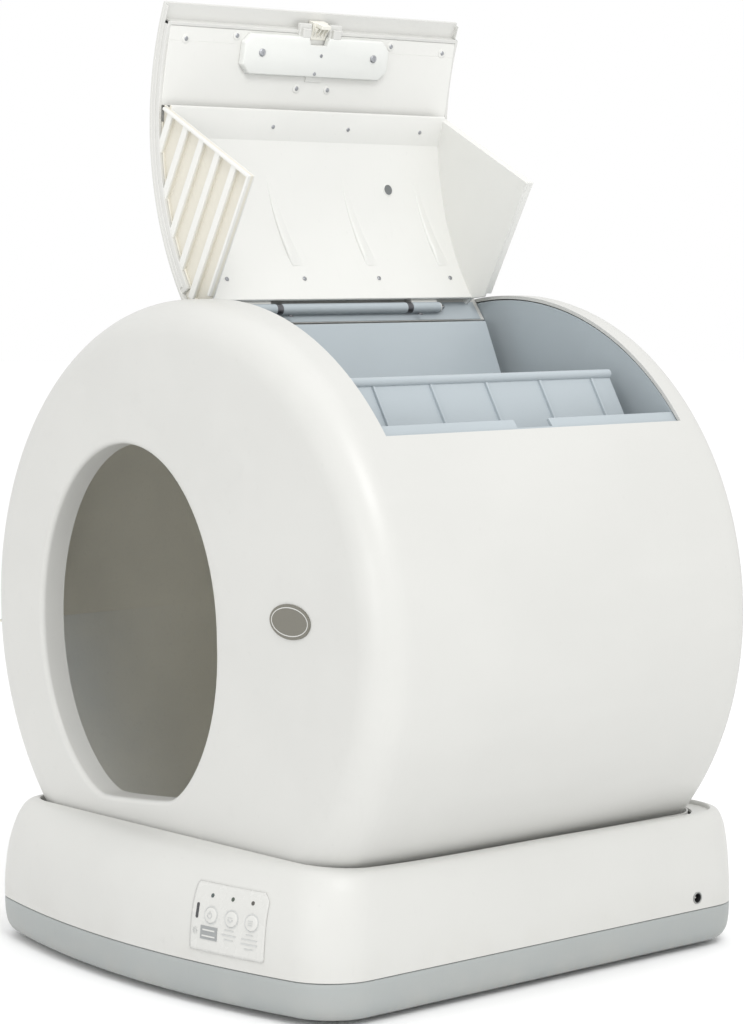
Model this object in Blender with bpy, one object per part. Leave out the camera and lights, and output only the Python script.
"""Self-cleaning litter box: a rolling drum with a hinged lid, on a powered base.

The drum's turning axis runs along Y. The entrance faces -Y, and the floor is z = 0.
The model stands as it is used for emptying: lid open, waste bin seated, drum at home.
"""

import math

import bmesh
import bpy
from mathutils import Matrix, Vector

MM = 0.001

# ---- fits between pieces ----
GAP = 0.3 * MM  # between pieces that touch
SLIDE = 1.5 * MM  # between pieces that pass each other

# ---- drum ----
DRUM_R = 258 * MM
DRUM_FRONT_Y = -193 * MM
DRUM_LENGTH = 395.5 * MM
DRUM_WALL = 3.5 * MM
FRONT_FILLET = 30 * MM
REAR_FILLET = 8 * MM
FLOOR_CLEARANCE = 24 * MM  # drum bottom above the floor
AXIS_Z = FLOOR_CLEARANCE + DRUM_R
DRUM_REAR_Y = DRUM_FRONT_Y + DRUM_LENGTH
SEGMENTS = 96

# ---- entrance in the drum's front ----
ENTRANCE_X = -58 * MM
ENTRANCE_RISE = -7.4 * MM  # centre above the drum axis
ENTRANCE_HALF_W = 119.5 * MM
ENTRANCE_HALF_H = 150.8 * MM
ENTRANCE_SILL = 143.6 * MM  # flat sill, below the centre
ENTRANCE_DEPTH = 22 * MM

# ---- lid opening, as angles from the top of the drum towards +X ----
OPENING_FROM = -10.4
OPENING_TO = 52.3
OPENING_Y0 = DRUM_FRONT_Y + 50.4 * MM
OPENING_Y1 = DRUM_REAR_Y - 23.7 * MM
OPENING_MID = (OPENING_Y0 + OPENING_Y1) / 2
FRAME_LIP = 2.7  # degrees of the frame that show along the opening's low edge

# ---- lid ----
LID_OPEN = 119.0  # degrees from shut to open
HINGE_AT = -7.44
HINGE_DEPTH = 7.8 * MM
LID_SKIN = 3 * MM
LID_DEPTH = 11 * MM
LID_FROM = -9.8
LID_TO = 52.0
RIM_WALL = 2.5 * MM
PANEL_FROM = 33.6
PANEL_TO = 48.1
PANEL_T = 2.5 * MM
SCOOP_R = DRUM_R - LID_DEPTH - 0.5 * MM  # outer radius of the scoop's back
SCOOP_T = 2.5 * MM
SCOOP_Y0 = OPENING_Y0 + 6.6 * MM
SCOOP_Y1 = OPENING_Y1 - 12.8 * MM
SCOOP_FLANGE = 5 * MM
PIN_R = 2.2 * MM
BARREL_R = 4.4 * MM
LUG_W = 32 * MM
LUG_SPREAD = 185 * MM
LATCH_W = 16 * MM
LATCH_TRAVEL = 3.5 * MM

# ---- waste compartment in the drum ----
FRAME_T = 2.4 * MM
FRAME_R = DRUM_R - DRUM_WALL - GAP
BIN_T = 2.5 * MM
BIN_Y0 = SCOOP_Y0 + SCOOP_T + SLIDE + 7 * MM
BIN_Y1 = SCOOP_Y1 - SCOOP_T - SLIDE - 2 * MM
BIN_LIFT = 160 * MM
BIN_RIBS = 5

# ---- base ----
BASE_HALF_W = 0.8713 * DRUM_R
BASE_FRONT_Y = DRUM_FRONT_Y - 19.2 * MM  # at the front corners
BASE_BOW = 31.3 * MM  # how far the middle of the front stands out
BASE_REAR_Y = DRUM_REAR_Y + 41.0 * MM
BASE_CORNER = 36 * MM
PAN_FOOT_Z = 4 * MM
SEAM_Z = 35 * MM
RIM_Z = 113.5 * MM
FRONT_RIM_RISE = 4.5 * MM
SKIN = 3 * MM
WELL_R = DRUM_R + 4 * MM
LINER_T = 2.5 * MM
WELL_Y0 = DRUM_FRONT_Y - 1.9 * MM
WELL_Y1 = DRUM_REAR_Y + 13.5 * MM
LINER_END = 1.0 * MM
WELL_INSET = 22.6 * MM  # the well's plan outline, inside the base's widest outline

# ---- rollers and drive, carried in the base ----
ROLLER_R = 12 * MM
ROLLER_W = 16 * MM
ROLLER_ANGLE = 38.0
ROLLER_Y = (DRUM_FRONT_Y + 53 * MM, DRUM_REAR_Y - 52 * MM)
AXLE_R = 3 * MM
DRIVE_R = 14 * MM
DRIVE_W = 20 * MM
DRIVE_Y = 20 * MM
MOTOR_R = 17 * MM

# ---- controls ----
PANEL_X0, PANEL_X1 = 86 * MM, 162 * MM
PANEL_Z0, PANEL_Z1 = 45 * MM, 97 * MM
BUTTON_X = (107.2 * MM, 128.4 * MM, 148.6 * MM)
BUTTON_Z = 73.5 * MM
BUTTON_R = 6 * MM
BUTTON_TRAVEL = 1.2 * MM
LED_SHIFT = -1.8 * MM
LED_Z = 88 * MM
LED_R = 1.9 * MM
JACK_Y = DRUM_REAR_Y - 20 * MM
JACK_Z = SEAM_Z + 10.4 * MM
JACK_R = 5 * MM


# ------------------------------------------------------------------ building blocks

def material(name, colour, roughness, metallic=0.0):
    made = bpy.data.materials.new(name)
    made.use_nodes = True
    shader = made.node_tree.nodes["Principled BSDF"]
    shader.inputs["Base Color"].default_value = (*colour, 1.0)
    shader.inputs["Roughness"].default_value = roughness
    shader.inputs["Metallic"].default_value = metallic
    return made


def solid(name, points, faces):
    """A mesh object from points and faces, with its faces turned outwards."""
    mesh = bpy.data.meshes.new(name)
    mesh.from_pydata([tuple(p) for p in points], [], faces)
    work = bmesh.new()
    work.from_mesh(mesh)
    bmesh.ops.recalc_face_normals(work, faces=work.faces)
    if work.calc_volume(signed=True) < 0:
        bmesh.ops.reverse_faces(work, faces=work.faces)
    work.to_mesh(mesh)
    work.free()
    obj = bpy.data.objects.new(name, mesh)
    bpy.context.scene.collection.objects.link(obj)
    return obj


def loft(name, rings, ring_closed=True, loop=False):
    """Skins equal rings in order. The ends are capped, or joined when loop is set."""
    count = len(rings[0])
    points = [p for ring in rings for p in ring]
    faces = []
    pairs = list(zip(range(len(rings) - 1), range(1, len(rings))))
    if loop:
        pairs.append((len(rings) - 1, 0))
    for low, high in pairs:
        for i in range(count):
            j = (i + 1) % count
            faces.append((low * count + i, low * count + j, high * count + j, high * count + i))
    if not loop:
        faces.append(tuple(range(count))[::-1])
        faces.append(tuple((len(rings) - 1) * count + i for i in range(count)))
    return solid(name, points, faces)


def prism_y(name, profile, y0, y1):
    """Sweeps an XZ profile along Y."""
    return loft(name, [[(x, y0, z) for x, z in profile], [(x, y1, z) for x, z in profile]])


def box(name, low, high):
    (x0, y0, z0), (x1, y1, z1) = low, high
    return prism_y(name, [(x0, z0), (x1, z0), (x1, z1), (x0, z1)], y0, y1)


def rod(name, start, end, radius, sides=24):
    """A round bar between two points."""
    start, end = Vector(start), Vector(end)
    along = (end - start).normalized()
    across = along.orthogonal().normalized()
    other = along.cross(across)
    turn = [2 * math.pi * i / sides for i in range(sides)]
    ring = [across * math.cos(a) * radius + other * math.sin(a) * radius for a in turn]
    return loft(name, [[start + r for r in ring], [end + r for r in ring]])


def polar(angle, radius):
    """An XZ point on the drum's section: the angle is from the top towards +X, in degrees."""
    a = math.radians(angle)
    return (radius * math.sin(a), AXIS_Z + radius * math.cos(a))


def rel(x, z):
    """An XZ point from millimetres measured about the drum's axis."""
    return (x * MM, AXIS_Z + z * MM)


def arc(radius, start, end, step=3.75):
    count = max(1, round(abs(end - start) / step))
    return [polar(start + (end - start) * i / count, radius) for i in range(count + 1)]


def arc_band(name, inner, outer, start, end, y0, y1, step=3.75):
    profile = arc(outer, start, end, step) + arc(inner, end, start, step)
    return prism_y(name, profile, y0, y1)


def revolve(name, profile, start=0.0, end=360.0, step=360 / SEGMENTS):
    """Turns a closed (radius, y) profile about the drum's axis."""
    whole = abs(end - start) >= 360
    count = round(abs(end - start) / step)
    angles = [start + (end - start) * i / count for i in range(count if whole else count + 1)]
    rings = []
    for a in angles:
        row = [polar(a, r) for r, _ in profile]
        rings.append([(x, y, z) for (x, z), (_, y) in zip(row, profile)])
    return loft(name, rings, loop=whole)


def join(base, other, operation="UNION"):
    """Applies one exact Boolean and drops the second object."""
    step = base.modifiers.new(operation, "BOOLEAN")
    step.operation = operation
    step.solver = "EXACT"
    step.object = other
    bpy.context.view_layer.update()
    graph = bpy.context.evaluated_depsgraph_get()
    made = bpy.data.meshes.new_from_object(base.evaluated_get(graph))
    base.modifiers.clear()
    base.data = made
    bpy.data.objects.remove(other)
    return base


def cut(base, other):
    return join(base, other, "DIFFERENCE")


def turn_y(obj, pivot, degrees):
    """Turns an object's mesh about an axis along Y through an XZ pivot."""
    centre = Vector((pivot[0], 0, pivot[1]))
    spin = Matrix.Rotation(math.radians(degrees), 4, "Y")
    obj.data.transform(Matrix.Translation(centre) @ spin @ Matrix.Translation(-centre))
    return obj


def finish(obj, name, look, smooth=32, origin=None):
    """Names the piece, gives it its material and shading, and puts its origin on a joint."""
    obj.name = name
    obj.data.name = name
    obj.data.materials.clear()
    obj.data.materials.append(look)
    for face in obj.data.polygons:
        face.use_smooth = bool(smooth)
        face.material_index = 0
    if smooth:
        obj.data.set_sharp_from_angle(angle=math.radians(smooth))
    if origin is not None:
        obj.data.transform(Matrix.Translation(-Vector(origin)))
        obj.location = origin
    return obj


# ------------------------------------------------------------------ base outline

def outline(half_w, front, bow, rear, corner, z, z_front):
    """The base's plan outline at one height: rounded corners and a bowed front."""
    points = []
    inner = half_w - corner
    mid, half_d = (front + rear) / 2, (rear - front) / 2

    def add(x, y):
        share = min(max((mid - y) / half_d, 0.0), 1.0) ** 4
        points.append((x, y - bow * (1 - (x / half_w) ** 2) * share,
                       z + (z_front - z) * share))

    for i in range(20):
        add(-inner + 2 * inner * i / 20, front)
    for i in range(7):
        a = math.radians(-90 + 90 * i / 7)
        add(inner + corner * math.cos(a), front + corner + corner * math.sin(a))
    for i in range(5):
        add(half_w, front + corner + (rear - front - 2 * corner) * i / 5)
    for i in range(7):
        a = math.radians(90 * i / 7)
        add(inner + corner * math.cos(a), rear - corner + corner * math.sin(a))
    for i in range(6):
        add(inner - 2 * inner * i / 6, rear)
    for i in range(7):
        a = math.radians(90 + 90 * i / 7)
        add(-inner + corner * math.cos(a), rear - corner + corner * math.sin(a))
    for i in range(5):
        add(-half_w, rear - corner - (rear - front - 2 * corner) * i / 5)
    for i in range(7):
        a = math.radians(180 + 90 * i / 7)
        add(-inner + corner * math.cos(a), front + corner + corner * math.sin(a))
    return points


# One row per height of the cover's wall: the share of its height, the inset at the side, at the
# front corners and at the rear, the share of the bow that is left, and the corner's radius.
COVER_ROWS = (
    (0.00, 0.0, 0.0, 0.0, 1.00, 36),
    (0.25, 0.5, 0.2, 0.5, 0.99, 36),
    (0.57, 2.8, 2.2, 2.7, 0.95, 36.5),
    (0.80, 6.8, 5.4, 6.2, 0.78, 37.5),
    (0.92, 11.8, 8.6, 10.7, 0.52, 38.5),
    (0.98, 16.6, 11.6, 15.2, 0.26, 39.5),
    (1.00, 20.8, 14.8, 19.5, 0.02, 40),
)


def cover_row(row, inset=0.0, drop=0.0):
    share, side, front, rear, bow, corner = row
    z = SEAM_Z + GAP + (RIM_Z - SEAM_Z - GAP) * share - drop
    rise = FRONT_RIM_RISE * max(0.0, share - 0.8) / 0.2
    return outline(BASE_HALF_W - side * MM - inset, BASE_FRONT_Y + front * MM + inset,
                   BASE_BOW * bow, BASE_REAR_Y - rear * MM - inset,
                   max(corner * MM - inset, 5 * MM), z, z + rise)


def front_wall(x, z):
    """The y of the cover's front surface, and its outward normal, at x and z."""
    def surface(px, pz):
        share = (pz - SEAM_Z - GAP) / (RIM_Z - SEAM_Z - GAP)
        for low, high in zip(COVER_ROWS, COVER_ROWS[1:]):
            if share <= high[0]:
                break
        t = (share - low[0]) / (high[0] - low[0])
        side, front, bow = (low[i] + (high[i] - low[i]) * t for i in (1, 2, 4))
        half = BASE_HALF_W - side * MM
        return BASE_FRONT_Y + front * MM - BASE_BOW * bow * (1 - (px / half) ** 2)

    step = 1 * MM
    y = surface(x, z)
    slope_x = (surface(x + step, z) - surface(x - step, z)) / (2 * step)
    slope_z = (surface(x, z + step) - surface(x, z - step)) / (2 * step)
    normal = Vector((slope_x, -1.0, slope_z)).normalized()
    return Vector((x, y, z)), normal


# ------------------------------------------------------------------ base pieces

def make_base_pan(look):
    """The grey tray under the base, with its edge rolled in at the floor."""
    rings = []
    for inset, z in ((11.8, 4.0), (7.6, 5.4), (4.2, 8.6), (1.6, 14.5), (0.3, 24.0), (0.0, 34.85)):
        rings.append((inset * MM, z * MM - 4 * MM + PAN_FOOT_Z))
    rings[-1] = (0.0, SEAM_Z)
    rings += [(SKIN, SEAM_Z), (SKIN + 0.4 * MM, 24 * MM), (SKIN + 2.5 * MM, 15 * MM),
              (SKIN + 9 * MM, PAN_FOOT_Z + 4.2 * MM)]
    made = [outline(BASE_HALF_W - i, BASE_FRONT_Y + i, BASE_BOW, BASE_REAR_Y - i,
                    BASE_CORNER - i * 0.6, z, z) for i, z in rings]
    return finish(loft("pan", made), "base_pan", look)


def well_form(name, radius, grow):
    """The drum's space in the base: a lying cylinder whose corners are rounded in plan."""
    round_form = prism_y(name, [polar(360 * i / SEGMENTS, radius) for i in range(SEGMENTS)],
                         WELL_Y0 - grow, WELL_Y1 + grow)
    half = BASE_HALF_W - WELL_INSET - LINER_END - GAP + grow
    plan = [outline(half, WELL_Y0 - grow, 0, WELL_Y1 + grow, 36 * MM + grow, z, z)
            for z in (0.0, AXIS_Z + WELL_R + 9 * MM)]
    return join(round_form, loft("plan", plan), "INTERSECT")


def make_base_cover(look):
    """The white upper base: a thin shell with the drum's well, button holes and jack hole."""
    outer = [cover_row(r) for r in COVER_ROWS]
    top = RIM_Z
    outer.append(outline(BASE_HALF_W - 80 * MM, BASE_FRONT_Y + 75 * MM, 0,
                         BASE_REAR_Y - 80 * MM, 40 * MM, top, top))
    shell = loft("cover", outer)
    inner = [outline(BASE_HALF_W - SKIN, BASE_FRONT_Y + SKIN, BASE_BOW, BASE_REAR_Y - SKIN,
                     33 * MM, SEAM_Z - 10 * MM, SEAM_Z - 10 * MM)]
    inner += [cover_row(r, SKIN, SKIN * min(1.0, max(0.0, r[0] - 0.3) / 0.7))
              for r in COVER_ROWS]
    inner.append(outline(BASE_HALF_W - 83 * MM, BASE_FRONT_Y + 78 * MM, 0,
                         BASE_REAR_Y - 83 * MM, 40 * MM, top - SKIN, top - SKIN))
    cut(shell, loft("hollow", inner))
    well = WELL_R + LINER_T + GAP
    cut(shell, well_form("well", well, LINER_END + GAP))
    for x in BUTTON_X:
        at, out = front_wall(x, BUTTON_Z)
        cut(shell, rod("hole", at + out * 6 * MM, at - out * 9 * MM, BUTTON_R + 0.8 * MM))
        at, out = front_wall(x + LED_SHIFT, LED_Z)
        cut(shell, rod("hole", at + out * 6 * MM, at - out * 9 * MM, LED_R + 0.5 * MM, 12))
    at, out = front_wall(92.5 * MM, 75.3 * MM)
    cut(shell, box("slot", at - Vector((2, 8, 6.5)) * MM, at + Vector((2, 8, 6.5)) * MM))
    cut(shell, rod("jack", (BASE_HALF_W - 20 * MM, JACK_Y, JACK_Z),
                   (BASE_HALF_W + 20 * MM, JACK_Y, JACK_Z), JACK_R + GAP))
    return finish(shell, "base_cover", look)


def make_well_liner(look):
    """The trough the drum turns in, open where the rollers and the drive wheel reach it."""
    outer = WELL_R + LINER_T
    trough = well_form("liner", outer, LINER_END)
    cut(trough, well_form("bore", WELL_R, 0.0))
    cut(trough, box("above", (-DRUM_R - 40 * MM, BASE_FRONT_Y - BASE_BOW, RIM_Z - 2 * MM),
                    (DRUM_R + 40 * MM, BASE_REAR_Y, 3 * AXIS_Z)))
    for angle, y, radius, width in wheel_places():
        half_t, half_w = radius + 2 * MM, width / 2 + 1.5 * MM
        gap = box("gap", (-half_t, y - half_w, AXIS_Z - outer - 12 * MM),
                  (half_t, y + half_w, AXIS_Z - WELL_R + 12 * MM))
        cut(trough, turn_y(gap, (0, AXIS_Z), angle))
    return finish(trough, "well_liner", look)


def wheel_places():
    """Angle from straight down, y, radius and width of each wheel under the drum."""
    rows = [(side * ROLLER_ANGLE, y, ROLLER_R, ROLLER_W) for y in ROLLER_Y for side in (-1, 1)]
    rows.append((ROLLER_ANGLE, DRIVE_Y, DRIVE_R, DRIVE_W))
    return rows


def wheel_centre(angle, radius):
    return polar(180 + angle, DRUM_R + GAP + radius)


def make_wheel(name, angle, y, radius, width, ends, look):
    """A roller or drive wheel with its axle. It runs under the drum, parallel to it."""
    x, z = wheel_centre(angle, radius)
    side, chamfer = width / 2, 1.2 * MM
    low, high = ends
    profile = [(AXLE_R, low), (AXLE_R, -side), (radius - chamfer, -side),
               (radius, -side + chamfer), (radius, side - chamfer), (radius - chamfer, side),
               (AXLE_R, side), (AXLE_R, high)]
    count = 18
    rings = [[(x + r * math.cos(2 * math.pi * i / count), y + h,
               z + r * math.sin(2 * math.pi * i / count)) for i in range(count)]
             for r, h in profile]
    return finish(loft(name, rings), name, look, origin=(x, y, z))


def make_roller_bracket(name, angle, y, look):
    """A forked stand for one roller, reaching down to the pan."""
    depth = DRUM_R + GAP + ROLLER_R
    fork_top = AXIS_Z - WELL_R - LINER_T - 0.8 * MM
    plate_top = AXIS_Z - depth - ROLLER_R - 3 * MM
    gap = ROLLER_W / 2 + 1 * MM
    fork = box("fork", (-8 * MM, y - gap - 3 * MM, plate_top - 3 * MM),
               (8 * MM, y + gap + 3 * MM, fork_top))
    cut(fork, box("space", (-20 * MM, y - gap, plate_top), (20 * MM, y + gap, AXIS_Z)))
    cut(fork, rod("bore", (0, y - 30 * MM, AXIS_Z - depth), (0, y + 30 * MM, AXIS_Z - depth),
                  AXLE_R + GAP, 16))
    turn_y(fork, (0, AXIS_Z), angle)
    x, z = polar(180 + angle, AXIS_Z - plate_top + 1.5 * MM)
    post = box("post", (x - 7 * MM, y - 9 * MM, PAN_FOOT_Z + 4.6 * MM),
               (x + 7 * MM, y + 9 * MM, z))
    return finish(join(fork, post), name, look, smooth=0)


def make_gearbox(look):
    """The reduction case beside the drive wheel, on its own post."""
    depth = DRUM_R + GAP + DRIVE_R
    y1 = DRIVE_Y - DRIVE_W / 2 - 2.5 * MM
    case = box("case", (-20 * MM, y1 - 26 * MM, AXIS_Z - DRUM_R - 48 * MM),
               (20 * MM, y1, AXIS_Z - WELL_R - LINER_T - 1.6 * MM))
    cut(case, rod("bore", (0, y1 - 12 * MM, AXIS_Z - depth), (0, y1 + 9 * MM, AXIS_Z - depth),
                  AXLE_R + GAP, 16))
    turn_y(case, (0, AXIS_Z), ROLLER_ANGLE)
    x, z = polar(180 + ROLLER_ANGLE, DRUM_R + 34 * MM)
    post = box("post", (x - 9 * MM, y1 - 24 * MM, PAN_FOOT_Z + 4.6 * MM),
               (x + 9 * MM, y1 - 4 * MM, z))
    return finish(join(case, post), "gearbox", look, smooth=0)


def make_motor(look):
    """The motor that turns the drive wheel through the gearbox."""
    y1 = DRIVE_Y - DRIVE_W / 2 - 28.5 * MM - GAP
    x, z = polar(180 + ROLLER_ANGLE, WELL_R + LINER_T + 5 * MM + MOTOR_R)
    can = rod("can", (x, y1 - 46 * MM, z), (x, y1, z), MOTOR_R, 28)
    join(can, rod("cap", (x, y1 - 50 * MM, z), (x, y1 - 45 * MM, z), 8 * MM, 20))
    return finish(can, "drive_motor", look)


def make_foot(name, x, y, look):
    pad = rod("pad", (x, y, 0), (x, y, PAN_FOOT_Z - GAP), 12 * MM)
    return finish(pad, name, look)


def make_control_panel(look):
    """The thin overlay on the front wall, with holes for the buttons, lights and window."""
    columns = [PANEL_X0 + (PANEL_X1 - PANEL_X0) * i / 8 for i in range(9)]
    seam_rows = [SEAM_Z + GAP + (RIM_Z - SEAM_Z - GAP) * r[0] for r in COVER_ROWS]
    heights = sorted([PANEL_Z0, PANEL_Z1] + [z for z in seam_rows if PANEL_Z0 < z < PANEL_Z1])
    layers = []
    for lift in (GAP, GAP + 0.7 * MM):
        layer = []
        for k, z in enumerate(heights):
            for i, x in enumerate(columns):
                top_corner = k == len(heights) - 1 and i == len(columns) - 1
                at, out = front_wall(x, z - (6 * MM if top_corner else 0))
                layer.append(at + Vector((0, -lift, 0)))
        layers.append(layer)
    wide, high = len(columns), len(heights)
    size = wide * high
    faces = []
    for k in range(high - 1):
        for i in range(wide - 1):
            a = k * wide + i
            faces.append((a, a + 1, a + wide + 1, a + wide))
            faces.append((size + a, size + a + wide, size + a + wide + 1, size + a + 1))
    edge = [i for i in range(wide)]
    edge += [k * wide + wide - 1 for k in range(1, high)]
    edge += [(high - 1) * wide + i for i in range(wide - 2, -1, -1)]
    edge += [k * wide for k in range(high - 2, 0, -1)]
    for a, b in zip(edge, edge[1:] + edge[:1]):
        faces.append((a, b, size + b, size + a))
    sheet = solid("sheet", layers[0] + layers[1], faces)
    for x in BUTTON_X:
        at, out = front_wall(x, BUTTON_Z)
        cut(sheet, rod("hole", at + out * 6 * MM, at - out * 6 * MM, BUTTON_R + 0.4 * MM))
        at, out = front_wall(x + LED_SHIFT, LED_Z)
        cut(sheet, rod("hole", at + out * 6 * MM, at - out * 6 * MM, LED_R + GAP, 12))
    at, out = front_wall(92.5 * MM, 75.3 * MM)
    cut(sheet, box("slot", at - Vector((1.7, 6, 6.2)) * MM, at + Vector((1.7, 6, 6.2)) * MM))
    return finish(sheet, "control_panel", look)


def make_button(name, x, look):
    at, out = front_wall(x, BUTTON_Z)
    cap = rod("cap", at + out * 1.6 * MM, at - out * 8 * MM, BUTTON_R)
    join(cap, rod("dome", at + out * 2.2 * MM, at - out * 1 * MM, BUTTON_R - 1.2 * MM, 24))
    return finish(cap, name, look, origin=at)


def make_led(name, x, look):
    at, out = front_wall(x + LED_SHIFT, LED_Z)
    return finish(rod("lens", at + out * 1.2 * MM, at - out * 5 * MM, LED_R, 12), name, look)


def make_sensor_window(look):
    at, out = front_wall(92.5 * MM, 75.3 * MM)
    lens = box("lens", at + Vector((-1.4, -1.3, -5.9)) * MM, at + Vector((1.4, 5, 5.9)) * MM)
    return finish(lens, "sensor_window", look, smooth=0)


def make_control_board(look):
    """The circuit board standing behind the buttons."""
    back = front_wall(PANEL_X0, BUTTON_Z)[0].y + 26 * MM
    board = box("board", (PANEL_X0 - 4 * MM, back - 1.6 * MM, PAN_FOOT_Z + 12 * MM),
                (PANEL_X1 - 4 * MM, back, PANEL_Z1 - 2 * MM))
    return finish(board, "control_board", look, smooth=0)


def make_dc_jack(body_look, pin_look):
    """The power inlet: a round socket in the right wall, with its centre pin."""
    face = BASE_HALF_W - 0.2 * MM
    tube = rod("tube", (face - 12 * MM, JACK_Y, JACK_Z), (face, JACK_Y, JACK_Z), JACK_R)
    cut(tube, rod("bore", (face - 10 * MM, JACK_Y, JACK_Z), (face + 5 * MM, JACK_Y, JACK_Z),
                  JACK_R - 1.6 * MM, 20))
    finish(tube, "dc_jack", body_look)
    pin = rod("pin", (face - 10 * MM + GAP, JACK_Y, JACK_Z), (face - 2 * MM, JACK_Y, JACK_Z),
              1.0 * MM, 12)
    finish(pin, "dc_pin", pin_look)


# ------------------------------------------------------------------ drum pieces

def fillet(radius, y, size, steps, rear=False):
    """Points of a rounded edge between the face at y and the side at radius."""
    made = []
    for i in range(steps + 1):
        a = math.radians(90 * i / steps)
        r = radius - size * (1 - math.sin(a))
        h = size * (1 - math.cos(a))
        made.append((r, y - h if rear else y + h))
    return made[::-1] if rear else made


def entrance_outline(grow=0.0, sides=64):
    """The entrance as XZ points: an oval with a flat, slightly tilted sill."""
    points = []
    centre_z = AXIS_Z + ENTRANCE_RISE
    for i in range(sides):
        a = 2 * math.pi * i / sides
        x = (ENTRANCE_HALF_W + grow) * math.cos(a)
        z = (ENTRANCE_HALF_H + grow) * math.sin(a)
        if math.cos(a) > 0 > math.sin(a):
            spread = 1 + 0.035 * math.sin(-2 * a)
            x, z = x * spread, z * spread
        sill = -ENTRANCE_SILL - grow + 0.08 * (x + ENTRANCE_HALF_W / 4)
        points.append((ENTRANCE_X + x, centre_z + max(z, sill)))
    return points


def make_drum_shell(look):
    """The white drum: front face, rounded front edge and side wall in one moulding."""
    inside = DRUM_R - DRUM_WALL
    deep = FRONT_FILLET - DRUM_WALL
    profile = fillet(DRUM_R, DRUM_FRONT_Y, FRONT_FILLET, 5)
    profile += fillet(DRUM_R, DRUM_REAR_Y, REAR_FILLET, 2, rear=True)
    lip = DRUM_R - REAR_FILLET - DRUM_WALL
    profile += [(lip, DRUM_REAR_Y), (lip, DRUM_REAR_Y - 4 * MM),
                (inside, DRUM_REAR_Y - 4 * MM - REAR_FILLET)]
    profile += fillet(inside, DRUM_FRONT_Y + DRUM_WALL, deep, 3)[::-1]
    rings = []
    for i in range(SEGMENTS):
        row = [polar(360 * i / SEGMENTS, r) for r, _ in profile]
        rings.append([(x, y, z) for (x, z), (_, y) in zip(row, profile)])
    count = len(profile)
    points = [p for ring in rings for p in ring]
    faces = []
    for i in range(SEGMENTS):
        j = (i + 1) % SEGMENTS
        for k in range(count - 1):
            faces.append((i * count + k, i * count + k + 1, j * count + k + 1, j * count + k))
    faces.append(tuple(i * count for i in range(SEGMENTS)))
    faces.append(tuple(i * count + count - 1 for i in range(SEGMENTS)))
    shell = solid("shell", points, faces)
    cut(shell, prism_y("hole", entrance_outline(), DRUM_FRONT_Y - 9 * MM,
                       DRUM_FRONT_Y + 20 * MM))
    cut(shell, arc_band("hole", DRUM_R - 30 * MM, DRUM_R + 30 * MM, OPENING_FROM, OPENING_TO,
                        OPENING_Y0, OPENING_Y1))
    return finish(shell, "drum_shell", look, origin=(0, 0, AXIS_Z))


def make_drum_back(look):
    """The rear cover, set into the shell's rear lip, with a stiffening ring."""
    outer = DRUM_R - REAR_FILLET - DRUM_WALL - GAP
    front, rear = DRUM_REAR_Y - 4.5 * MM, DRUM_REAR_Y - 1 * MM
    rings = []
    for r, y in ((outer, front), (outer, rear), (outer - 22 * MM, rear),
                 (outer - 26 * MM, rear - 1.2 * MM), (outer - 96 * MM, rear - 1.2 * MM),
                 (outer - 100 * MM, rear)):
        rings.append([(x, y, z) for x, z in (polar(360 * i / 60, r) for i in range(60))])
    return finish(loft("back", rings), "drum_back", look, origin=(0, 0, AXIS_Z))


def make_entrance_ring(look):
    """The short sleeve that lines the entrance."""
    sleeve = prism_y("sleeve", entrance_outline(-GAP), DRUM_FRONT_Y + 0.2 * MM,
                     DRUM_FRONT_Y + ENTRANCE_DEPTH)
    cut(sleeve, prism_y("hole", entrance_outline(-GAP - 2.6 * MM), DRUM_FRONT_Y - 9 * MM,
                        DRUM_FRONT_Y + ENTRANCE_DEPTH + 9 * MM))
    return finish(sleeve, "entrance_ring", look, origin=(0, 0, AXIS_Z))


LINER_R = DRUM_R - DRUM_WALL - 0.7 * MM
LINER_Y0 = DRUM_FRONT_Y + DRUM_WALL + 1.3 * MM
LINER_Y1 = DRUM_REAR_Y - 4 * MM - REAR_FILLET - 2 * MM
BOWL_FROM, BOWL_TO = 68.0, 265.0
CANOPY_FROM, CANOPY_TO = -94.7, -12.6


def liner_profile(thick=2.8 * MM):
    deep = FRONT_FILLET - DRUM_WALL - 0.7 * MM
    return (fillet(LINER_R, LINER_Y0, deep, 4) + [(LINER_R, LINER_Y1),
            (LINER_R - thick, LINER_Y1)]
            + fillet(LINER_R - thick, LINER_Y0 + thick, deep - thick, 4)[::-1])


def make_litter_bowl(look):
    """The lower liner that holds the litter."""
    return finish(revolve("bowl", liner_profile(), BOWL_FROM, BOWL_TO, 3.75), "litter_bowl",
                  look, origin=(0, 0, AXIS_Z))


def make_canopy_liner(look):
    """The upper liner of the cabin, meeting the bowl at a level seam."""
    return finish(revolve("canopy", liner_profile(), CANOPY_FROM, CANOPY_TO, 3.75),
                  "canopy_liner", look, origin=(0, 0, AXIS_Z))


def make_sieve(look):
    """The slotted plate that keeps clumps back when the drum turns over."""
    right_x, right_z = rel(-9, 158)
    left_x, left_z = polar(-56, LINER_R - 5 * MM)
    y0, y1 = DRUM_FRONT_Y + 36 * MM, LINER_Y1 - 4 * MM
    plate = prism_y("plate", [(left_x, left_z), (right_x, right_z), (right_x, right_z + 3 * MM),
                              (left_x, left_z + 3 * MM)], y0, y1)
    rows, columns = 12, 2
    pitch = (y1 - y0 - 16 * MM) / rows
    span = (right_x - left_x - 36 * MM) / columns
    for i in range(rows):
        for k in range(columns):
            x0 = left_x + 14 * MM + k * (span + 8 * MM)
            y = y0 + 8 * MM + pitch * (i + 0.5)
            cut(plate, box("slot", (x0, y - pitch * 0.24, left_z - 20 * MM),
                           (x0 + span, y + pitch * 0.24, right_z + 20 * MM)))
    return finish(plate, "sieve", look, smooth=0, origin=(0, 0, AXIS_Z))


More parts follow.
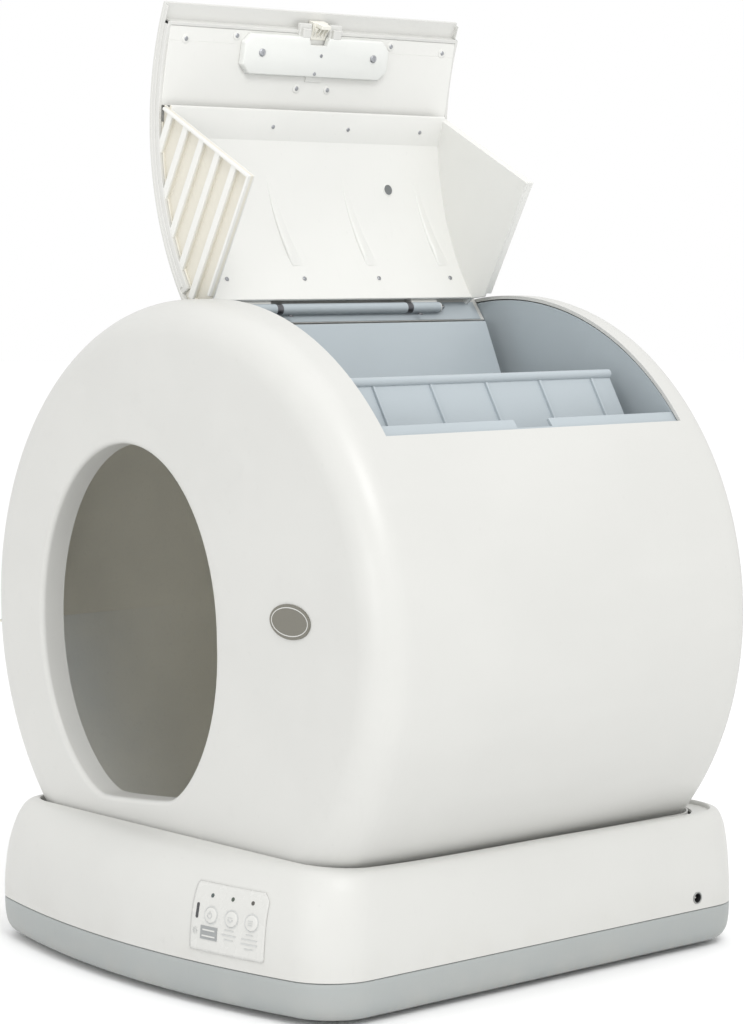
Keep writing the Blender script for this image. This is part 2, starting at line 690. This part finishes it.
def frame_profile():
    """The compartment's outside, as XZ points under the drum's skin."""
    return ([rel(-50.5, 234), rel(17, 122), rel(31.5, 106), rel(196, 106),
             polar(61.3, FRAME_R - 1.8 * MM)] + arc(FRAME_R, OPENING_TO + 1.7, -11.3, 3.9))


def make_bin_housing(look):
    """The fixed grey compartment round the waste bin, with its lip along the opening."""
    edge = OPENING_TO - FRAME_LIP
    body = prism_y("body", frame_profile(), OPENING_Y0 - 0.3 * MM - FRAME_T,
                   OPENING_Y1 + 0.3 * MM + FRAME_T)
    room = [rel(-47.3, 262), rel(-47.8, 234.7), rel(20, 123.5), rel(32.8, 108.5),
            rel(195.2, 108.5), polar(60.9, FRAME_R - 4.6 * MM),
            polar(OPENING_TO + 1.7, FRAME_R - 3.2 * MM), polar(edge, FRAME_R - 3.2 * MM),
            polar(edge, DRUM_R + 4 * MM), polar(edge / 2, DRUM_R * 1.2)]
    cut(body, prism_y("room", room, OPENING_Y0 - 0.3 * MM, OPENING_Y1 + 0.3 * MM))
    cut(body, box("inlet", (-60 * MM, OPENING_Y0 + 28 * MM, AXIS_Z + 0.715 * DRUM_R),
                  (0, OPENING_Y1 - 28 * MM, AXIS_Z + 0.905 * DRUM_R)))
    cut(body, arc_band("notch", FRAME_R - 6 * MM, DRUM_R, edge - 2, OPENING_TO - 0.9,
                       OPENING_MID - 19 * MM, OPENING_MID + 19 * MM))
    return finish(body, "bin_housing", look, origin=(0, 0, AXIS_Z))


def make_waste_bin(look):
    """The lift-out bin: a tall slanted wall by the hinge, a low ribbed wall with a rolled lip."""
    outer = [rel(-11.5, 236), rel(45, 109.2), rel(176, 109.2), rel(161, 158), rel(141, 192)]
    inner = [rel(-9.8, 245), rel(47.2, 111.7), rel(173.8, 111.7), rel(158.3, 157.6),
             rel(138.4, 191.5), rel(136, 210)]
    tub = prism_y("tub", outer, BIN_Y0, BIN_Y1)
    cut(tub, prism_y("room", inner, BIN_Y0 + BIN_T, BIN_Y1 - BIN_T))
    lip = [rel(135.6, 191), rel(142.2, 190.2), rel(142.6, 196.6), rel(141, 198.2),
           rel(136.8, 198.6)]
    join(tub, prism_y("lip", lip, BIN_Y0 - 1 * MM, BIN_Y1 + 1 * MM))
    mid = (BIN_Y0 + BIN_Y1) / 2
    pitch = (BIN_Y1 - BIN_Y0 - 46 * MM) / (BIN_RIBS - 1)
    for i in range(BIN_RIBS):
        y = mid + (i - (BIN_RIBS - 1) / 2) * pitch
        rib = [rel(140, 190.8), rel(159.5, 157.5), rel(163.3, 158.4), rel(143.2, 191.9)]
        join(tub, prism_y("rib", rib, y - 0.8 * MM, y + 0.8 * MM))
    return finish(tub, "waste_bin", look, smooth=25, origin=(rel(90, 0)[0], mid, AXIS_Z))


def make_badge(look):
    """A plain oval badge on the drum's front."""
    points = []
    for i in range(32):
        a = 2 * math.pi * i / 32
        points.append((152.5 * MM + 24 * MM * math.cos(a),
                       AXIS_Z + 17.3 * MM + 13.5 * MM * math.sin(a)))
    plate = prism_y("plate", points, DRUM_FRONT_Y - GAP - 0.9 * MM, DRUM_FRONT_Y - GAP)
    return finish(plate, "front_badge", look, origin=(0, 0, AXIS_Z))


# ------------------------------------------------------------------ lid pieces, made shut

HINGE = polar(HINGE_AT, DRUM_R - HINGE_DEPTH)
LUG_Y = (OPENING_MID - LUG_SPREAD / 2, OPENING_MID + LUG_SPREAD / 2)
BRACKET_Y = (LUG_Y[0] + LUG_W / 2 + 4.5 * MM, LUG_Y[1] - LUG_W / 2 - 4.5 * MM)


def open_lid(obj, name, look, smooth=32, origin=None):
    """Swings a piece made shut to the open pose, with its origin on the hinge."""
    turn_y(obj, HINGE, -LID_OPEN)
    at = origin if origin is not None else (HINGE[0], OPENING_MID, HINGE[1])
    return finish(obj, name, look, smooth, origin=at)


def opened(x, z):
    """Where an XZ point of the shut lid stands when the lid is open."""
    a = math.radians(-LID_OPEN)
    dx, dz = x - HINGE[0], z - HINGE[1]
    return (HINGE[0] + dx * math.cos(a) + dz * math.sin(a),
            HINGE[1] - dx * math.sin(a) + dz * math.cos(a))


def make_lid_shell(look):
    """The lid's outer skin, with a rim wall on three sides and clearance for the hinge."""
    y0, y1 = OPENING_Y0 + 0.5 * MM, OPENING_Y1 - 0.5 * MM
    inside = DRUM_R - LID_SKIN
    skin = arc_band("skin", inside, DRUM_R, LID_FROM, LID_TO, y0, y1, 3.0)
    edge = LID_TO - 3.1
    wall_r = DRUM_R - LID_DEPTH
    for low, high in ((y0 + 2 * MM, y0 + 2 * MM + RIM_WALL), (y1 - 2 * MM - RIM_WALL, y1 - 2 * MM)):
        join(skin, arc_band("rim", wall_r, inside + 1 * MM, -3, edge, low, high, 3.0))
    join(skin, arc_band("rim", wall_r, inside + 1 * MM, edge - 0.55, edge, y0 + 2 * MM,
                        y1 - 2 * MM, 3.0))
    cut(skin, arc_band("latch", wall_r - 3 * MM, inside - 0.2 * MM, edge - 3, edge + 3,
                       OPENING_MID - LATCH_W / 2 - 2 * MM, OPENING_MID + LATCH_W / 2 + 2 * MM))
    for y in BRACKET_Y:
        cut(skin, arc_band("clear", DRUM_R - 14 * MM, DRUM_R + 5 * MM, LID_FROM - 3,
                           HINGE_AT + 3.6, y - 3.5 * MM, y + 3.5 * MM))
    return open_lid(skin, "lid_shell", look)


def lid_plate_frame():
    """Origin, along and inward directions of the flat inner panel, in XZ."""
    start, end = (Vector(polar(a, DRUM_R - 8 * MM)) for a in (PANEL_FROM, PANEL_TO))
    along = (end - start).normalized()
    inward = Vector((along.y, -along.x))
    if inward.dot(Vector((0, AXIS_Z)) - start) < 0:
        inward = -inward
    return start, along, inward, (end - start).length


def on_plate(s, n):
    start, along, inward, _ = lid_plate_frame()
    at = start + along * s + inward * n
    return (at.x, at.y)


def make_lid_panel(look):
    """The flat inner panel between the scoop and the lid's free edge."""
    length = lid_plate_frame()[3]
    y0 = OPENING_Y0 + 2.5 * MM + RIM_WALL + GAP
    y1 = OPENING_Y1 - 2.5 * MM - RIM_WALL - GAP
    profile = [on_plate(0, 0), on_plate(length, 0), on_plate(length, PANEL_T),
               on_plate(0, PANEL_T)]
    panel = prism_y("panel", profile, y0, y1)
    notch = [on_plate(length - 13 * MM, -9 * MM), on_plate(length + 9 * MM, -9 * MM),
             on_plate(length + 9 * MM, 9 * MM), on_plate(length - 13 * MM, 9 * MM)]
    cut(panel, prism_y("notch", notch, OPENING_MID - LATCH_W / 2 - 4 * MM,
                       OPENING_MID + LATCH_W / 2 + 4 * MM))
    return open_lid(panel, "lid_panel", look, smooth=0)


def make_latch_cover(look):
    """The raised oblong plate with cut corners, over the latch."""
    length = lid_plate_frame()[3]
    top, low = length - 14.5 * MM, length - 37 * MM + 1 * MM
    wide, chamfer = 79.5 * MM, 8 * MM
    mid = OPENING_MID - 2.5 * MM
    rings = []
    for n, inset in ((PANEL_T + GAP, 0.0), (PANEL_T + 4.5 * MM, 0.6 * MM),
                     (PANEL_T + 6 * MM, 2.4 * MM)):
        w, t, b, c = wide - inset, length - 1.5 * MM - inset, low + inset, chamfer
        corners = [(-w, b + c), (-w + c, b), (w - c, b), (w, b + c), (w, t - c), (w - c, t),
                   (14 * MM, t), (14 * MM, top), (-14 * MM, top), (-14 * MM, t),
                   (-w + c, t), (-w, t - c)]
        rings.append([(on_plate(s, n)[0], mid + y, on_plate(s, n)[1]) for y, s in corners])
    return open_lid(loft("plate", rings), "latch_cover", look, smooth=0)


def make_latch_screw(name, y, look):
    length = lid_plate_frame()[3]
    n = PANEL_T + 6 * MM + GAP
    s = length - 19 * MM
    (x0, z0), (x1, z1) = on_plate(s, n), on_plate(s, n + 1.6 * MM)
    head = rod("head", (x0, y, z0), (x1, y, z1), 3.4 * MM, 16)
    return open_lid(head, name, look)


def make_latch_hook(look):
    """The sliding catch in the notch at the lid's free edge."""
    y0, y1 = OPENING_MID - LATCH_W / 2, OPENING_MID + LATCH_W / 2
    edge = LID_TO - 1.5
    top = DRUM_R - LID_SKIN - 0.8 * MM
    body = prism_y("body", [polar(edge - 3.4, top), polar(edge, top),
                            polar(edge, top - 7 * MM), polar(edge - 3.4, top - 7 * MM)], y0, y1)
    join(body, prism_y("leg", [polar(edge - 0.8, top - 5 * MM), polar(edge, top - 5 * MM),
                               polar(edge, top - 15 * MM), polar(edge - 0.8, top - 15 * MM)],
                       y0 + 3 * MM, y1 - 3 * MM))
    at = opened(*polar(edge, top))
    return open_lid(body, "latch_hook", look, smooth=0, origin=(at[0], OPENING_MID, at[1]))


def angled_band(first, corner, last, outside, inside):
    """An XZ band along first-corner-last, mitred at the corner, with the angle inside it."""
    lines = []
    for a, b in ((first, corner), (corner, last)):
        along = (b - a).normalized()
        normal = Vector((along.y, -along.x))
        if normal.dot((first + last) / 2 - corner) < 0:
            normal = -normal
        lines.append((a, b, normal))
    (a, b, n), (_, c, m) = lines
    mitre = (n + m) / (1 + n.dot(m))
    points = [a - n * outside, b - mitre * outside, c - m * outside,
              c + m * inside, b + mitre * inside, a + n * inside]
    return [(v.x, v.y) for v in points]


SCOOP_ROOT = polar(33.2, SCOOP_R)
SCOOP_TIP = rel(26.5, 134.9)
SCOOP_HEEL = rel(-33, 229)


def make_lid_scoop(look):
    """The inner scoop: a curved back, a sloped ledge, two side walls with flanges and ribs."""
    inner = SCOOP_R - SCOOP_T
    back = arc_band("back", inner, SCOOP_R, -4.4, 28.5, SCOOP_Y0 + 0.4 * MM,
                    SCOOP_Y1 - 0.4 * MM)
    ledge = [polar(26.8, SCOOP_R - 0.2 * MM), polar(26.8, inner + 0.4 * MM),
             polar(32.8, SCOOP_R - 9.5 * MM), polar(33.2, SCOOP_R - 9.3 * MM),
             polar(33.2, SCOOP_R - 7 * MM), polar(28.4, SCOOP_R - 0.2 * MM)]
    join(back, prism_y("ledge", ledge, SCOOP_Y0 + 0.6 * MM, SCOOP_Y1 - 0.6 * MM))
    side = [SCOOP_ROOT] + arc(SCOOP_R + 0.4 * MM, 30, -6, 3) + [SCOOP_HEEL, SCOOP_TIP]
    root, tip, heel = (Vector(p) for p in (SCOOP_ROOT, SCOOP_TIP, SCOOP_HEEL))
    centre = Vector((0, AXIS_Z))
    run = (heel - tip).normalized()
    flange = angled_band(root + (tip - root) * 0.04, tip, heel + (tip - heel) * 0.03,
                         0.4 * MM, 2.1 * MM)
    for wall, out in ((SCOOP_Y0, -1), (SCOOP_Y1, 1)):
        far = wall - out * SCOOP_T
        join(back, prism_y("side", side, min(wall, far), max(wall, far)))
        edge = wall + out * SCOOP_FLANGE
        low, high = sorted((wall - out * 1 * MM, edge))
        join(back, prism_y("flange", flange, low, high))
        for share in (0.16, 0.34, 0.52, 0.70, 0.88):
            start = tip + (root - tip) * share
            reach = 0.0
            while (start + run * reach - centre).length < SCOOP_R - 2.6 * MM:
                reach += 0.5 * MM
            across = Vector((run.y, -run.x)) * 0.9 * MM
            inset = run * 1.2 * MM
            end = start + run * reach
            rib = [start + inset - across, start + inset + across, end + across, end - across]
            rib_low, rib_high = sorted((wall - out * 0.8 * MM, edge - out * 0.8 * MM))
            join(back, prism_y("rib", [(v.x, v.y) for v in rib], rib_low, rib_high))
    middle = (SCOOP_Y0 + SCOOP_Y1) / 2
    pitch = (SCOOP_Y1 - SCOOP_Y0) / 3.64
    for k in (-1.5, -0.5, 0.5, 1.5):
        y = middle + k * pitch
        join(back, arc_band("ridge", inner - 2 * MM, inner + 0.5 * MM, -1, 14, y - 1.3 * MM,
                            y + 1.3 * MM))
    return open_lid(back, "lid_scoop", look, smooth=25)


def make_hinge_lug(name, y, look):
    """A lid lug: a barrel round the pin and a foot under the lid's skin."""
    x, z = HINGE
    barrel = rod("barrel", (x, y - LUG_W / 2, z), (x, y + LUG_W / 2, z), BARREL_R, 20)
    foot = [polar(HINGE_AT + 0.2, DRUM_R - LID_SKIN - 5.6 * MM),
            polar(HINGE_AT + 0.2, DRUM_R - LID_SKIN - 1.8 * MM)]
    foot += arc(DRUM_R - LID_SKIN - 0.6 * MM, HINGE_AT + 2.2, 4, 3)
    foot += arc(SCOOP_R + 0.5 * MM, 4, HINGE_AT + 2.2, 3)
    join(barrel, prism_y("foot", foot, y - LUG_W / 2 + 1 * MM, y + LUG_W / 2 - 1 * MM))
    cut(barrel, rod("bore", (x, y - LUG_W, z), (x, y + LUG_W, z), PIN_R + GAP, 16))
    return open_lid(barrel, name, look)


def make_hinge_bracket(name, y, look):
    """A steel ear on the compartment's rail that carries the pin."""
    x, z = HINGE
    ear = rod("ear", (x, y - 1.5 * MM, z), (x, y + 1.5 * MM, z), BARREL_R, 20)
    arm = [(x - 2 * MM, z + 3 * MM), (x + 2.5 * MM, z - 3 * MM), (x - 14 * MM, z - 8 * MM),
           (x - 14.4 * MM, z + 0.5 * MM)]
    join(ear, prism_y("arm", arm, y - 1.5 * MM, y + 1.5 * MM))
    cut(ear, rod("bore", (x, y - 9 * MM, z), (x, y + 9 * MM, z), PIN_R + GAP, 16))
    return finish(ear, name, look, origin=(0, y, AXIS_Z))


def make_hinge_pin(look):
    x, z = HINGE
    pin = rod("pin", (x, LUG_Y[0] - LUG_W / 2 - 5 * MM, z),
              (x, LUG_Y[1] + LUG_W / 2 + 5 * MM, z), PIN_R, 16)
    return finish(pin, "hinge_pin", look, origin=(0, OPENING_MID, AXIS_Z))


# ------------------------------------------------------------------ the whole object

def main():
    for obj in list(bpy.data.objects):
        bpy.data.objects.remove(obj)

    white = (0.83, 0.83, 0.80)
    grey = (0.40, 0.43, 0.42)
    blue_grey = (0.43, 0.48, 0.53)
    steel = (0.55, 0.55, 0.55)

    make_base_pan(material("pan grey plastic", grey, 0.5))
    make_base_cover(material("base white plastic", white, 0.38))
    make_well_liner(material("well white plastic", (0.74, 0.74, 0.71), 0.5))
    rubber = material("foot rubber", (0.05, 0.05, 0.05), 0.85)
    spots = [(s * (BASE_HALF_W - 47 * MM), y) for s in (-1, 1)
             for y in (BASE_FRONT_Y + 26 * MM, BASE_REAR_Y - 40 * MM)]
    for i, (x, y) in enumerate(spots):
        make_foot(f"foot_{i + 1}", x, y, rubber)

    tyre = material("roller rubber", (0.12, 0.12, 0.12), 0.8)
    nylon = material("bracket nylon", (0.62, 0.62, 0.6), 0.6)
    half = ROLLER_W / 2 + 5 * MM
    for i, (angle, y, radius, width) in enumerate(wheel_places()[:4]):
        make_wheel(f"roller_{i + 1}", angle, y, radius, width, (-half, half), tyre)
        make_roller_bracket(f"roller_bracket_{i + 1}", angle, y, nylon)
    ends = (-DRIVE_W / 2 - 12 * MM, DRIVE_W / 2 + 2 * MM)
    make_wheel("drive_wheel", ROLLER_ANGLE, DRIVE_Y, DRIVE_R, DRIVE_W, ends,
               material("drive tyre", (0.06, 0.06, 0.06), 0.85))
    make_gearbox(material("gearbox plastic", (0.14, 0.14, 0.15), 0.55))
    make_motor(material("motor steel", steel, 0.35, 1.0))

    make_control_panel(material("overlay film", (0.80, 0.80, 0.77), 0.3))
    button = material("button plastic", (0.78, 0.78, 0.75), 0.4)
    lens = material("light lens", (0.10, 0.10, 0.10), 0.2)
    for i, x in enumerate(BUTTON_X):
        make_button(f"button_{i + 1}", x, button)
        make_led(f"indicator_{i + 1}", x, lens)
    make_sensor_window(material("sensor glass", (0.03, 0.03, 0.03), 0.1))
    make_control_board(material("circuit board", (0.03, 0.20, 0.08), 0.5))
    make_dc_jack(material("jack plastic", (0.04, 0.04, 0.04), 0.45),
                 material("jack pin", (0.75, 0.72, 0.65), 0.25, 1.0))

    make_drum_shell(material("drum white plastic", white, 0.38))
    make_drum_back(material("rear white plastic", white, 0.42))
    make_entrance_ring(material("entrance white plastic", white, 0.38))
    make_litter_bowl(material("bowl grey plastic", (0.36, 0.38, 0.38), 0.5))
    make_canopy_liner(material("canopy grey plastic", (0.33, 0.32, 0.28), 0.55))
    make_sieve(material("sieve plastic", (0.35, 0.36, 0.35), 0.5))
    make_bin_housing(material("compartment plastic", blue_grey, 0.45))
    make_waste_bin(material("bin plastic", blue_grey, 0.42))
    make_badge(material("badge plate", (0.27, 0.26, 0.24), 0.35))
    make_hinge_pin(material("pin steel", steel, 0.3, 1.0))
    ear = material("bracket steel", (0.3, 0.3, 0.3), 0.4, 1.0)
    lug = material("lug white plastic", white, 0.45)
    for i in range(2):
        make_hinge_bracket(f"hinge_bracket_{i + 1}", BRACKET_Y[i], ear)
        make_hinge_lug(f"hinge_lug_{i + 1}", LUG_Y[i], lug)

    make_lid_shell(material("lid white plastic", white, 0.38))
    make_lid_panel(material("panel white plastic", white, 0.45))
    make_lid_scoop(material("scoop white plastic", white, 0.42))
    make_latch_cover(material("latch cover plastic", (0.78, 0.78, 0.76), 0.45))
    screw = material("screw steel", steel, 0.35, 1.0)
    for i, offset in enumerate((-61 * MM, 59 * MM)):
        make_latch_screw(f"latch_screw_{i + 1}", OPENING_MID + offset, screw)
    make_latch_hook(material("latch plastic", (0.80, 0.79, 0.74), 0.5))
    bpy.context.view_layer.update()


main()
